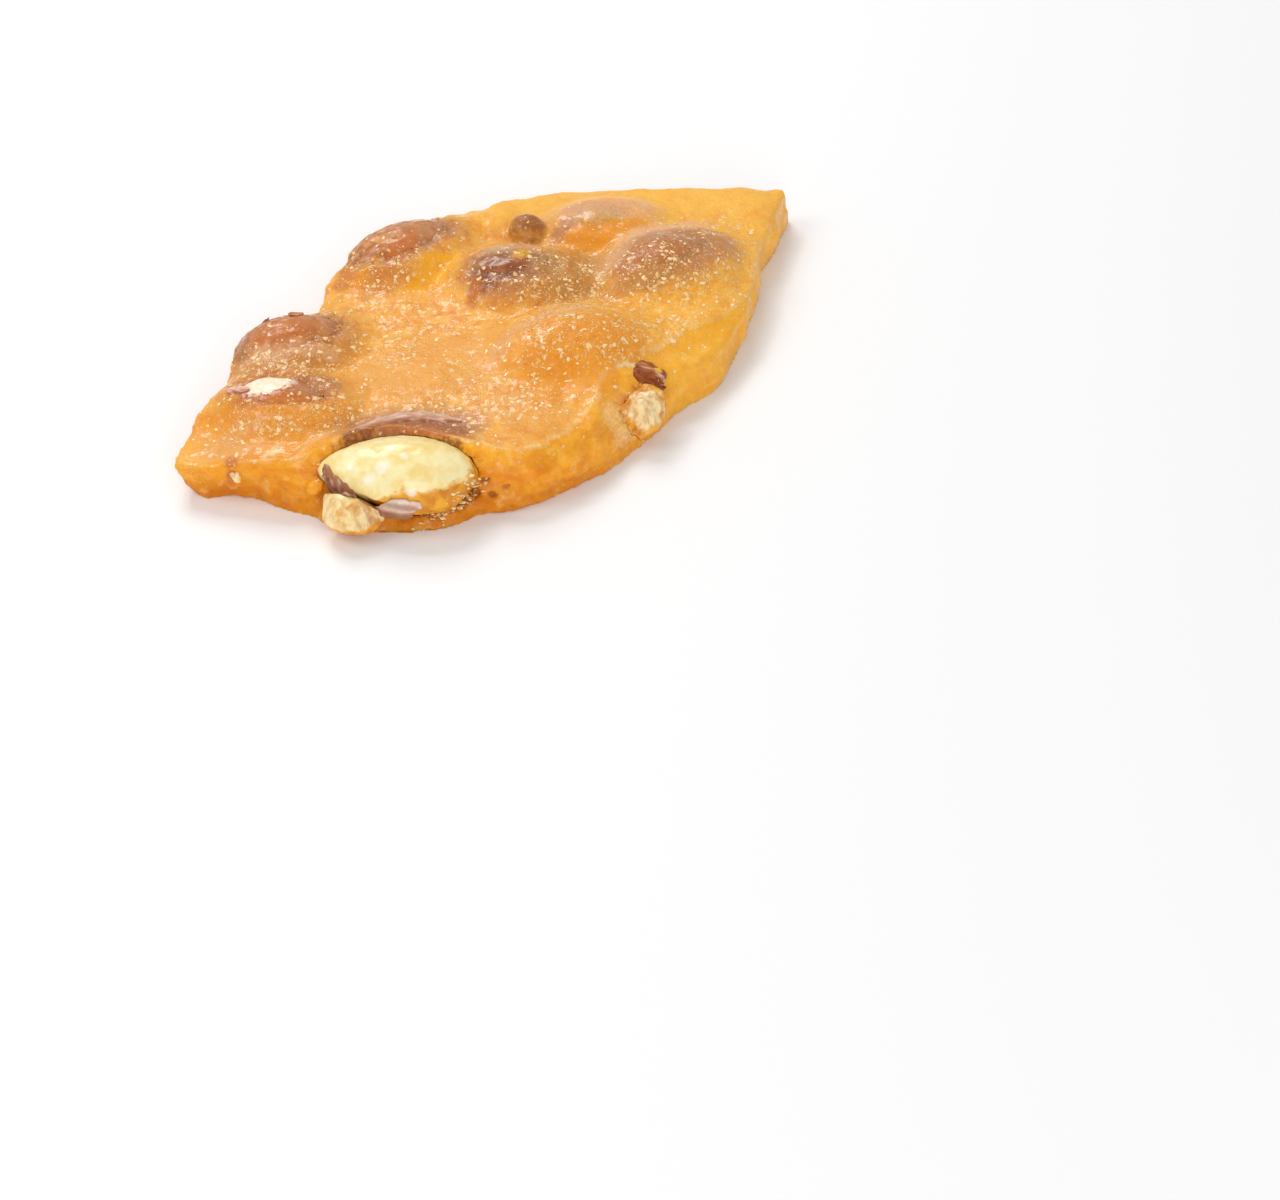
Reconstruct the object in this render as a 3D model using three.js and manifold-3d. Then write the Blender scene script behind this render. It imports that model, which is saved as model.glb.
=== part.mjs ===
// A shard of peanut brittle: one broken piece of a poured candy sheet, flat underneath, with whole
// roasted peanuts that swell through its top and stand out of its broken edges.
// Millimetres, +Z up. The origin is on the flat underside, in the middle of the shard's box. X runs
// along the shard, and -Y is the broken edge where a skinned peanut lies bare.
import * as THREE from "three";
import { ImprovedNoise } from "three/addons/math/ImprovedNoise.js";
import { mergeVertices } from "three/addons/utils/BufferGeometryUtils.js";
import Module from "manifold-3d";

const wasm = await Module();
wasm.setup();
const perlin = new ImprovedNoise();

// ---- Driving dimensions ----

const SHEET_THICKNESS = 6.5; // poured candy between the peanuts
const TIP_THICKNESS = 4.6; // where the sheet ran out thin, at the left tip
const FILM = 0.55; // candy that lies over a covered peanut
const BARE_DEPTH = 0.55; // how far the candy stays below the crown of a peanut that shows
const SKIRT = 2.3; // how far the candy swells out round a peanut
const SEAT_GAP = 0.3; // clearance between a peanut and its seat in the candy
const RIM_LEVEL = 7; // height at which the rim points below are given

// Whole peanuts in the sheet. at is the middle, size the length, width and height, yaw the turn in
// degrees from X, dip the degrees by which the slim end hangs lower, and bare the share of the
// peanut's outline inside which it shows.
const PEANUTS = [
  { name: "peanut_left_front", at: [-23.4, -13.9, 5], size: [14.2, 8.6, 8], yaw: -10, dip: 0, bare: 0.74 },
  { name: "peanut_left_rim", at: [-23.2, -2.5, 5.6], size: [14.8, 9.6, 8.8], yaw: 26, dip: 0, bare: 0.95 },
  { name: "peanut_back_left", at: [-10.7, 17.3, 5.7], size: [16.4, 10.0, 8.6], yaw: 38, dip: -3, bare: 0.9 },
  { name: "peanut_middle", at: [4.8, 11.2, 5.5], size: [16.2, 10.4, 8.8], yaw: -4, dip: 5, bare: 0.8 },
  { name: "peanut_back_middle", at: [14.7, 22.6, 5.1], size: [14.4, 8.8, 8.4], yaw: 16, dip: 0, bare: 0.78 },
  { name: "peanut_right", at: [23.6, 14.2, 5.4], size: [17.6, 11.0, 9.2], yaw: 24, dip: 2, bare: 0.86 },
];

// The large peanut at the broken front edge: its front is bare and has lost its skin.
const BARE_PEANUT = {
  name: "peanut_front_bare",
  at: [-8.5, -25.9, 4.9],
  size: [18.6, 10.4, 8.8],
  yaw: 178,
  dip: -3,
  cuts: [
    { out: [-0.35, -0.75, -0.6], distance: 4.3 },
    { out: [0.75, -0.45, -0.45], distance: 7.4 },
  ],
};

// A peanut that lies deep enough to be only a swelling of the candy.
const COVERED_PEANUT = { at: [11.4, -2.2, 5.4], size: [17.6, 11.0, 9.0], yaw: 12, dip: 0 };

// Broken pieces of peanut. cuts are the broken faces, each a direction and its distance from the middle.
const FRAGMENTS = [
  {
    name: "peanut_piece_front",
    look: "kernel",
    at: [-14.3, -30.4, 2.9],
    size: [8.0, 5.8, 5.2],
    yaw: -14,
    dip: 12,
    cuts: [
      { out: [-0.8, -0.3, 0.5], distance: 2.5 },
      { out: [0.55, -0.75, 0.3], distance: 2.4 },
    ],
  },
  {
    name: "peanut_piece_right",
    look: "kernel",
    at: [20.2, -12.5, 3.9],
    size: [7.4, 5.6, 5.4],
    yaw: 64,
    dip: -22,
    cuts: [
      { out: [-0.4, -0.8, 0.4], distance: 2.2 },
      { out: [0.8, -0.5, 0.2], distance: 2.0 },
    ],
  },
  {
    name: "peanut_bud_back",
    look: "skin",
    at: [5.2, 20.6, 7.2],
    size: [4.6, 4.2, 4.6],
    yaw: 20,
    dip: 0,
    cuts: [],
  },
];

// Crumbs of peanut and folded skin that stick to the broken edge and are one with it.
const EDGE_CHIPS = [
  { at: [-28.9, -24.5, 2.9], size: [1.9, 1.6, 3.0] },
  { at: [-18.9, -27.0, 3.4], size: [1.8, 2.0, 2.6] },
  { at: [21.6, -8.6, 6.5], size: [3.6, 1.8, 3.0] },
];

// The broken edge, anticlockwise from the left tip, as sides that meet in corners. A station is the
// rim of the break, x and y at RIM_LEVEL, and its foot on the underside. belly bows a side out at
// mid height, or hollows it where negative. shoulder is how far the top rounds down to the rim, at
// the side's start and at its end.
const SIDES = [
  {
    belly: -0.35, // left part of the front
    shoulder: [0, 0],
    stations: [
      { rim: [-36.9, -23.9], foot: [-33.9, -23.2] },
      { rim: [-31.9, -25.1], foot: [-32.0, -24.7] },
      { rim: [-28.9, -25.3], foot: [-29.5, -24.1] },
      { rim: [-25.4, -25.6], foot: [-25.8, -24.8] },
      { rim: [-22.0, -25.3], foot: [-22.3, -26.9] },
      { rim: [-18.6, -23.8], foot: [-19.2, -28.0] },
    ],
  },
  {
    belly: 0, // the candy that cups the bare peanut
    shoulder: [0, 0],
    stations: [
      { rim: [-18.6, -23.8], foot: [-19.2, -28.0] },
      { rim: [-14.2, -22.0], foot: [-15.6, -30.4] },
      { rim: [-8.6, -21.6], foot: [-9.2, -30.8] },
      { rim: [-3.0, -22.6], foot: [-3.4, -30.2] },
      { rim: [0.4, -24.2], foot: [0.8, -27.6] },
    ],
  },
  {
    belly: 1.4, // right part of the front, long and sloping
    shoulder: [0.3, 2.2],
    stations: [
      { rim: [0.4, -24.2], foot: [0.8, -27.6] },
      { rim: [4.8, -24.7], foot: [5.0, -26.8] },
      { rim: [9.8, -22.2], foot: [9.9, -24.0] },
      { rim: [12.6, -18.8], foot: [14.0, -20.9] },
      { rim: [14.1, -14.8], foot: [16.6, -18.8] },
      { rim: [16.0, -10.6], foot: [19.3, -15.3] },
      { rim: [19.6, -7.0], foot: [21.9, -12.1] },
      { rim: [25.1, -4.4], foot: [24.6, -7.8] },
      { rim: [28.6, -0.2], foot: [28.6, -4.2] },
      { rim: [30.9, 1.6], foot: [31.0, 0.8] },
    ],
  },
  {
    belly: 0.8, // right side
    shoulder: [2.2, 0.5],
    stations: [
      { rim: [30.9, 1.6], foot: [31.0, 0.8] },
      { rim: [32.0, 4.2], foot: [32.6, 5.6] },
      { rim: [33.0, 9.5], foot: [34.0, 11.4] },
      { rim: [33.9, 15.0], foot: [35.2, 17.1] },
      { rim: [34.3, 18.6], foot: [35.0, 20.2] },
      { rim: [35.9, 23.3], foot: [36.6, 23.6] },
      { rim: [37.4, 28.1], foot: [38.5, 29.0] },
      { rim: [39.1, 33.3], foot: [39.6, 33.9] },
    ],
  },
  {
    belly: 0.2, // back, nearly straight
    shoulder: [0.4, 0.6],
    stations: [
      { rim: [39.1, 33.3], foot: [39.6, 33.9] },
      { rim: [33.0, 33.4], foot: [33.0, 34.0] },
      { rim: [21.1, 32.7], foot: [21.0, 33.2] },
      { rim: [8.6, 32.0], foot: [8.5, 32.5] },
      { rim: [4.4, 30.5], foot: [4.2, 31.1] },
      { rim: [-0.7, 27.5], foot: [-1.2, 28.3] },
    ],
  },
  {
    belly: 0.3, // back left, past a peanut that stands out of the break
    shoulder: [1.2, 1.2],
    stations: [
      { rim: [-0.7, 27.5], foot: [-1.2, 28.3] },
      { rim: [-4.8, 25.6], foot: [-5.2, 26.4] },
      { rim: [-9.6, 21.6], foot: [-10.2, 22.4] },
      { rim: [-14.8, 17.4], foot: [-15.6, 18.0] },
      { rim: [-18.9, 13.2], foot: [-19.6, 13.4] },
      { rim: [-20.2, 8.4], foot: [-20.9, 8.2] },
    ],
  },
  {
    belly: 0.2, // left, round the rim peanut
    shoulder: [1.6, 1.6],
    stations: [
      { rim: [-20.2, 8.4], foot: [-20.9, 8.2] },
      { rim: [-20.9, 5.0], foot: [-21.6, 5.2] },
      { rim: [-24.0, 1.2], foot: [-24.9, 1.9] },
      { rim: [-28.4, -2.4], foot: [-29.0, -2.0] },
      { rim: [-30.3, -6.3], foot: [-30.8, -6.0] },
      { rim: [-30.8, -9.8], foot: [-31.2, -9.6] },
    ],
  },
  {
    belly: 0.3, // left, down to the tip
    shoulder: [0.8, 0],
    stations: [
      { rim: [-30.8, -9.8], foot: [-31.2, -9.6] },
      { rim: [-32.9, -13.6], foot: [-33.2, -13.0] },
      { rim: [-34.7, -18.7], foot: [-34.6, -18.2] },
      { rim: [-36.9, -23.9], foot: [-33.9, -23.2] },
    ],
  },
];

// Mesh steps: along the break, up the break, and across the sheet's top.
const BREAK_STEP = 1.5;
const BREAK_LEVELS = 8;
const BREAK_TOP = 13; // above every swelling
const RELIEF_STEP = 1.42;
const SHOULDER_WIDTH = 4.2; // how far in from the rim the top starts to round down

const HACKLE = 0.38; // roughness of the broken faces
const WAVES = 0.22; // slow unevenness of the poured top

const COLOURS = {
  candy: { color: 0xd9901f, roughness: 0.35, metalness: 0 },
  skin: { color: 0x9a5530, roughness: 0.45, metalness: 0 },
  kernel: { color: 0xf3dc9e, roughness: 0.5, metalness: 0 },
};

// ---- Small helpers ----

const smooth = (from, to, value) => THREE.MathUtils.smoothstep(value, from, to);
const fade = (from, to, value) => (from < to ? smooth(from, to, value) : 1 - smooth(to, from, value));

// The larger of 0 and value, rounded off over +-blend.
function softPositive(value, blend) {
  if (value <= -blend) return 0;
  return value >= blend ? value : (value + blend) ** 2 / (4 * blend);
}

// A point in a peanut's own plan axes: how far along it, in millimetres, and its share of the way
// from the middle to the outline.
function planPlace(peanut, x, y, grow = 0) {
  const turn = THREE.MathUtils.degToRad(peanut.yaw);
  const [dx, dy] = [x - peanut.at[0], y - peanut.at[1]];
  const along = dx * Math.cos(turn) + dy * Math.sin(turn);
  const across = dy * Math.cos(turn) - dx * Math.sin(turn);
  const share = Math.hypot(along / (peanut.size[0] / 2 + grow), across / (peanut.size[1] / 2 + grow));
  return { along, share };
}

function solidOf(geometry) {
  const bare = geometry.clone();
  bare.deleteAttribute("normal");
  bare.deleteAttribute("uv");
  const merged = mergeVertices(bare, 1e-4);
  return new wasm.Manifold(
    new wasm.Mesh({
      numProp: 3,
      vertProperties: merged.attributes.position.array,
      triVerts: new Uint32Array(merged.index.array),
    }),
  );
}

function geometryOf(solid) {
  const mesh = solid.getMesh();
  const geometry = new THREE.BufferGeometry();
  geometry.setAttribute("position", new THREE.BufferAttribute(mesh.vertProperties, 3));
  geometry.setIndex(new THREE.BufferAttribute(mesh.triVerts, 1));
  geometry.computeVertexNormals();
  return geometry;
}

// Moves every vertex of a geometry to where place(point) puts it.
function reshape(geometry, place) {
  const position = geometry.getAttribute("position");
  const point = new THREE.Vector3();
  for (let i = 0; i < position.count; i++) {
    point.fromBufferAttribute(position, i);
    place(point);
    position.setXYZ(i, point.x, point.y, point.z);
  }
  return geometry;
}

// ---- The poured sheet ----

// Thickness of the candy between the peanuts.
function sheetHeight(x, y) {
  const thinTip = (SHEET_THICKNESS - TIP_THICKNESS) * fade(-24, -35, x) * fade(-6, -20, y);
  const thinBack = 0.35 * fade(24, 33, y);
  const backLip = 0.9 * fade(20, 25, y) * fade(-9, -5, x) * fade(5, 0, x);
  const frontLip = 0.7 * fade(-17, -24, y) * fade(-4, 3, x) * fade(14, 8, x);
  const rightLip = 1.3 * fade(-2, -9, y) * fade(10, 16, x) * fade(29, 24, x);
  const waves = 2 * WAVES * perlin.noise(x / 8, y / 8, 0.5);
  return SHEET_THICKNESS - thinTip - thinBack + backLip + frontLip + rightLip + waves;
}

// Height of the candy's top, with the swellings over the peanuts and the shoulders along the rim.
function topHeight(x, y, lines) {
  const base = sheetHeight(x, y);
  let rise = 0;
  for (const peanut of [...PEANUTS, BARE_PEANUT, COVERED_PEANUT]) {
    const { along, share } = planPlace(peanut, x, y, SKIRT);
    const lean = along * Math.tan(THREE.MathUtils.degToRad(peanut.dip));
    const crown = peanut.at[2] + peanut.size[2] / 2 + FILM - lean;
    const swell = softPositive((crown - base) * (1 - share ** 2), 1.1);
    rise = Math.max(rise, swell) + 0.35 * Math.min(rise, swell);
  }
  let top = base + rise;
  for (const peanut of PEANUTS) {
    const { share } = planPlace(peanut, x, y);
    top -= (FILM + BARE_DEPTH) * 1.25 * fade(peanut.bare, peanut.bare * 0.35, share);
  }
  let shoulder = 0;
  lines.rim.forEach((r, i) => {
    const share = Math.hypot(r.x - x, r.y - y) / SHOULDER_WIDTH;
    if (share < 1) shoulder = Math.max(shoulder, lines.shoulder[i] * (1 - share) ** 2);
  });
  return top - shoulder;
}

// The sheet before it is broken: a slab whose top carries the relief.
function pouredSheet(lines) {
  const box = new THREE.Box3().setFromPoints([...lines.foot, ...lines.rim]);
  const size = box.getSize(new THREE.Vector3());
  const middle = box.getCenter(new THREE.Vector3());
  const margin = 4;
  const [width, depth] = [size.x + margin, size.y + margin];
  const slab = new THREE.BoxGeometry(
    width, depth, 2, Math.round(width / RELIEF_STEP), Math.round(depth / RELIEF_STEP), 1,
  );
  slab.translate(middle.x, middle.y, 0);
  return reshape(slab, (p) => {
    p.z = p.z > 0 ? topHeight(p.x, p.y, lines) : -2;
  });
}

// ---- The break round the shard ----

// Points along the foot and the rim of the whole break, evenly spread on each side.
function breakLines() {
  const foot = [];
  const rim = [];
  const belly = [];
  const shoulder = [];
  for (const side of SIDES) {
    const [feet, rims] = ["foot", "rim"].map((line) => {
      const points = side.stations.map((station) => new THREE.Vector3(...station[line], 0));
      return new THREE.CatmullRomCurve3(points, false, "centripetal");
    });
    const steps = Math.ceil(feet.getLength() / BREAK_STEP);
    for (let i = 0; i < steps; i++) {
      foot.push(feet.getPoint(i / steps));
      rim.push(rims.getPoint(i / steps));
      belly.push(side.belly * Math.sin((Math.PI * i) / steps));
      shoulder.push(THREE.MathUtils.lerp(...side.shoulder, i / steps));
    }
  }
  return { foot, rim, belly, shoulder };
}

// A tall block with the break as its wall: the foot outline extruded, each level then moved towards
// the rim and roughened.
function breakBlock({ foot, rim, belly }) {
  const outline = new THREE.Shape(foot.map((p) => new THREE.Vector2(p.x, p.y)));
  const block = new THREE.ExtrudeGeometry(outline, {
    depth: BREAK_TOP,
    steps: BREAK_LEVELS,
    bevelEnabled: false,
  });
  const count = foot.length;
  return reshape(block, (p) => {
    const away = foot.map((f) => Math.hypot(f.x - p.x, f.y - p.y));
    const i = away.indexOf(Math.min(...away));
    const next = foot[(i + 1) % count];
    const last = foot[(i + count - 1) % count];
    const out = new THREE.Vector2(next.y - last.y, last.x - next.x).normalize();
    const share = Math.min(p.z, RIM_LEVEL) / RIM_LEVEL;
    const rough = HACKLE * 2 * perlin.noise(p.x / 3.1, p.y / 3.1, p.z / 2.6) * smooth(0, 0.15, share);
    const push = belly[i] * Math.sin(Math.PI * share) + rough;
    p.x = foot[i].x + (rim[i].x - foot[i].x) * share + out.x * push;
    p.y = foot[i].y + (rim[i].y - foot[i].y) * share + out.y * push;
  });
}

// ---- Peanuts ----

// A peanut kernel, longest along X, with a slimmer end that runs out in a small beak.
function kernelGeometry(size, grow, around, along) {
  const kernel = new THREE.SphereGeometry(1, around, along).rotateZ(-Math.PI / 2);
  const [a, b, c] = size.map((s) => s / 2 + grow);
  return reshape(kernel, (p) => {
    const slim = 1 - 0.13 * p.x - 0.05 * p.x ** 2;
    const beak = 0.07 * Math.max(p.x, 0) ** 6;
    p.set(a * (p.x + beak), b * p.y * slim, c * p.z * slim);
  });
}

// Turns a geometry made round the origin into a peanut's place.
function settle(geometry, { at, yaw, dip }) {
  return geometry
    .rotateY(THREE.MathUtils.degToRad(dip))
    .rotateZ(THREE.MathUtils.degToRad(yaw))
    .translate(...at);
}

// A block that covers everything past a plane, which breaks off that side of a peanut.
function pastPlane({ out, distance }, at, grow) {
  const reach = 30;
  const normal = new THREE.Vector3(...out).normalize();
  const turn = new THREE.Quaternion().setFromUnitVectors(new THREE.Vector3(0, 0, 1), normal);
  const block = new THREE.BoxGeometry(reach, reach, reach)
    .translate(0, 0, reach / 2 + distance + grow)
    .applyQuaternion(turn)
    .translate(...at);
  return solidOf(block);
}

// A whole or broken peanut in its place; grow makes it larger all round, for its seat.
function peanutSolid(peanut, grow = 0) {
  const [around, along] = peanut.size[0] < 10 ? [14, 8] : [20, 12];
  const whole = solidOf(settle(kernelGeometry(peanut.size, grow, around, along), peanut));
  return (peanut.cuts ?? []).reduce((left, cut) => left.subtract(pastPlane(cut, peanut.at, grow)), whole);
}

function chipSolid({ at, size }) {
  return solidOf(new THREE.IcosahedronGeometry(1, 1).scale(...size.map((s) => s / 2)).translate(...at));
}

// ---- Assembly ----

const lines = breakLines();
let candy = solidOf(breakBlock(lines)).intersect(solidOf(pouredSheet(lines)));
for (const chip of EDGE_CHIPS) candy = candy.add(chipSolid(chip));
const nuts = [...PEANUTS, BARE_PEANUT, ...FRAGMENTS];
for (const nut of nuts) candy = candy.subtract(peanutSolid(nut, SEAT_GAP));

const shard = new THREE.Group();
function addPiece(name, solid, look) {
  const mesh = new THREE.Mesh(geometryOf(solid), new THREE.MeshStandardMaterial(COLOURS[look]));
  mesh.name = name;
  shard.add(mesh);
}
addPiece("candy_sheet", candy, "candy");
for (const nut of PEANUTS) addPiece(nut.name, peanutSolid(nut), "skin");
addPiece(BARE_PEANUT.name, peanutSolid(BARE_PEANUT), "kernel");
for (const nut of FRAGMENTS) {
  addPiece(nut.name, peanutSolid(nut).subtract(peanutSolid(BARE_PEANUT, SEAT_GAP)), nut.look);
}

// The stations are given from a point near the middle; the origin is the exact middle of the box.
const middle = new THREE.Box3().setFromObject(shard).getCenter(new THREE.Vector3());
for (const mesh of shard.children) mesh.geometry.translate(-middle.x, -middle.y, 0);

export default shard;
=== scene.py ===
# A shard of peanut brittle: amber candy poured over whole roasted peanuts, set and broken by hand.
# Skinned peanuts swell through its top, and one split, bare peanut stands in the break at the front.
from math import cos, pi, radians, sin

import bmesh
import bpy
import numpy as np
from mathutils import Matrix, Vector, noise
from mathutils.bvhtree import BVHTree
from mathutils.kdtree import KDTree


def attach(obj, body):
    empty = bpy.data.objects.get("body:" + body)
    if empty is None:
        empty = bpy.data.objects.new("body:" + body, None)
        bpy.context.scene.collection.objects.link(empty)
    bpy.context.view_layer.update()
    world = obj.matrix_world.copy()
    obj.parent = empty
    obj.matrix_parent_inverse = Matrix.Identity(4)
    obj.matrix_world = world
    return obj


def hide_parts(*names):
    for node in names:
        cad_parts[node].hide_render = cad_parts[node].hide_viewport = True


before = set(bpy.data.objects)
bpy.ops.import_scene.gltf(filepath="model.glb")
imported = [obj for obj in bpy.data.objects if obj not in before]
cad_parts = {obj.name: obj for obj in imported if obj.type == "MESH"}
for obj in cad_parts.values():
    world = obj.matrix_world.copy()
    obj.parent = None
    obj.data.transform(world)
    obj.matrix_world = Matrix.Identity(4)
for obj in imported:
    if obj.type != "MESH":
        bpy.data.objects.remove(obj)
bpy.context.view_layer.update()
scene = bpy.context.scene


# ---- Table, lamps and camera ----
# A white table in a bright white room, lit softly from behind, from the left and from the front. A
# small lamp puts the glints on wet skin and broken candy. The camera looks down at 42 degrees.
MM = 0.001  # a millimetre in the scene's metres
TABLE = 3  # half the table's side, in metres
ROOM_LIGHT = 0.52  # strength of the white room
LAMPS = {  # each lamp's place and side in metres, and its power in watts
    "lamp_behind": ((-0.14, 0.42, 0.5), 0.3, 1.6),
    "lamp_left": ((-0.42, -0.04, 0.46), 0.25, 0.7),
    "lamp_front": ((0.12, -0.52, 0.2), 0.35, 1.05),
    "lamp_glint": ((-0.26, 0.3, 0.52), 0.07, 0.3),
}
CAMERA_PLACE = (0.017855, -0.3033, 0.23162)  # metres
CAMERA_TILT = 48.309  # degrees up from straight down
LENS, SENSOR = 85, 36  # mm

floor_mesh = bpy.data.meshes.new("table_top")
bm = bmesh.new()
bmesh.ops.create_grid(bm, x_segments=1, y_segments=1, size=TABLE)
bm.to_mesh(floor_mesh)
bm.free()
floor = bpy.data.objects.new("table_top", floor_mesh)
scene.collection.objects.link(floor)
floor_look = bpy.data.materials.new("table_white")
floor_look.use_nodes = True
floor_shader = floor_look.node_tree.nodes["Principled BSDF"]
floor_shader.inputs["Base Color"].default_value = (0.95, 0.95, 0.95, 1)
floor_shader.inputs["Roughness"].default_value = 0.6
floor_mesh.materials.append(floor_look)

world = bpy.data.worlds.new("white_room")
scene.world = world
world.use_nodes = True
world.node_tree.nodes["Background"].inputs["Color"].default_value = (1, 1, 1, 1)
world.node_tree.nodes["Background"].inputs["Strength"].default_value = ROOM_LIGHT

for name, (place, side, power) in LAMPS.items():
    light = bpy.data.lights.new(name, "AREA")
    light.size = side
    light.energy = power
    lamp = bpy.data.objects.new(name, light)
    lamp.location = place
    lamp.rotation_euler = (-Vector(place)).to_track_quat("-Z", "Y").to_euler()
    scene.collection.objects.link(lamp)

camera_data = bpy.data.cameras.new("camera")
camera_data.lens = LENS
camera_data.sensor_width = SENSOR
camera_data.clip_start = 0.01  # metres
camera = bpy.data.objects.new("camera", camera_data)
camera.location = CAMERA_PLACE
camera.rotation_euler = (radians(CAMERA_TILT), 0, 0)
scene.collection.objects.link(camera)
scene.camera = camera
scene.view_settings.view_transform = "Standard"


# ---- Peanuts in their skins ----
# Six whole roasted peanuts and the bud of a seventh, still in thin red-brown skins that wrinkle
# lengthwise. Moulded from the CAD solids, then roughened; the front left skin has torn open.
SKINNED = [
    "peanut_left_front", "peanut_left_rim", "peanut_back_left", "peanut_middle",
    "peanut_back_middle", "peanut_right", "peanut_bud_back",
]
NUT_STEP = 0.28  # mesh step on a peanut, in mm
WRINKLE, WRINKLE_SIZE = 0.11, 0.9  # depth and width of the lengthwise wrinkles, in mm
TORN = "peanut_left_front"  # the peanut whose skin has torn
TORN_ABOVE = 5  # it has torn above this height, in mm
FLESH = (-27.4, -13.2, 3.1, 2.3, 8)  # where its white flesh shows, as an oval in the plan
LIP = 0.16  # height of the curled lip round the tear, in mm
GRAIN = (0.3, 1.3, 1.3)  # streaks for each mm along and across a peanut


def tone(code):
    """Linear red, green and blue of a hex colour."""
    shares = [int(code[i : i + 2], 16) / 255 for i in (0, 2, 4)]
    return [s / 12.92 if s <= 0.04045 else ((s + 0.055) / 1.055) ** 2.4 for s in shares]


def piece(name, mesh):
    """A new object with its place in its mesh."""
    made = bpy.data.objects.new(name, mesh)
    scene.collection.objects.link(made)
    return made


def solid_copy(nodes, name, grow=0.0):
    """Copies of CAD solids in one mesh, their loose triangles merged, grown outwards by grow mm."""
    mesh = bpy.data.meshes.new(name)
    bm = bmesh.new()
    for node in nodes:
        start = len(bm.verts)
        bm.from_mesh(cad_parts[node].data)
        bm.verts.ensure_lookup_table()
        bmesh.ops.remove_doubles(bm, verts=bm.verts[start:], dist=1e-6)
    bm.normal_update()
    for vert in bm.verts:
        vert.co += vert.normal * grow * MM
    bm.to_mesh(mesh)
    bm.free()
    return piece(name, mesh)


def bake(obj):
    """Turns a piece's modifiers into its mesh."""
    graph = bpy.context.evaluated_depsgraph_get()
    made = bpy.data.meshes.new_from_object(obj.evaluated_get(graph))
    obj.modifiers.clear()
    obj.data = made
    obj.data.name = obj.name


def remesh(obj, step, smooth):
    """Rebuilds a piece as an even mesh and takes its facets out."""
    cells = obj.modifiers.new("cells", "REMESH")
    cells.mode = "VOXEL"
    cells.voxel_size = step * MM
    soft = obj.modifiers.new("soft", "SMOOTH")
    soft.factor = 0.5
    soft.iterations = smooth
    bake(obj)


def points(mesh):
    """Places of a mesh's vertices, in mm."""
    values = np.empty(len(mesh.vertices) * 3)
    mesh.vertices.foreach_get("co", values)
    return values.reshape(-1, 3) / MM


def normals(mesh):
    """Outward directions at a mesh's vertices."""
    values = np.empty(len(mesh.vertices) * 3)
    mesh.vertex_normals.foreach_get("vector", values)
    return values.reshape(-1, 3)


def put(mesh, places):
    """Moves a mesh's vertices to places in mm."""
    mesh.vertices.foreach_set("co", (places * MM).ravel())
    mesh.update()


def store(mesh, name, values):
    """Keeps a number or a vector for each vertex, for the materials to read."""
    kind = "FLOAT" if values.ndim == 1 else "FLOAT_VECTOR"
    layer = mesh.attributes.get(name) or mesh.attributes.new(name, kind, "POINT")
    layer.data.foreach_set("value" if kind == "FLOAT" else "vector", values.ravel())


def rough(places, size, seed, octaves=2):
    """Noise of about -1 to 1 at places, with features of size mm."""
    shift = Vector((seed * 7.31, seed * 3.17, seed * 5.71))
    return np.array([noise.fractal(Vector(p) / size + shift, 0.8, 2.1, octaves) for p in places])


def fade(start, end, values):
    """0 at start and 1 at end, eased."""
    share = np.clip((values - start) / (end - start), 0, 1)
    return share * share * (3 - 2 * share)


def oval(places, mid_x, mid_y, long, wide, turn):
    """Share of the way from an oval's middle to its edge, in the plan; long and wide are half sizes."""
    c, s = cos(radians(turn)), sin(radians(turn))
    dx, dy = places[:, 0] - mid_x, places[:, 1] - mid_y
    return np.hypot((dx * c + dy * s) / long, (dy * c - dx * s) / wide)


# Colours that show through the candy or on a skin.
# PAINTED_SHEEN is no colour of the thing but a painted sheen: the pale highlight on crests of peanuts and
# candy.
HAZE, CLEAR_GOLD, AMBER, PALE_AND_HIGHLIGHT = "eda850", "f8b028", "ea9420", "fddca4"
RUST, UMBER, MAUVE, OLIVE, PAINTED_SHEEN = "c8743a", "8a4a28", "b87e58", "c48c48", "eeba90"
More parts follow.
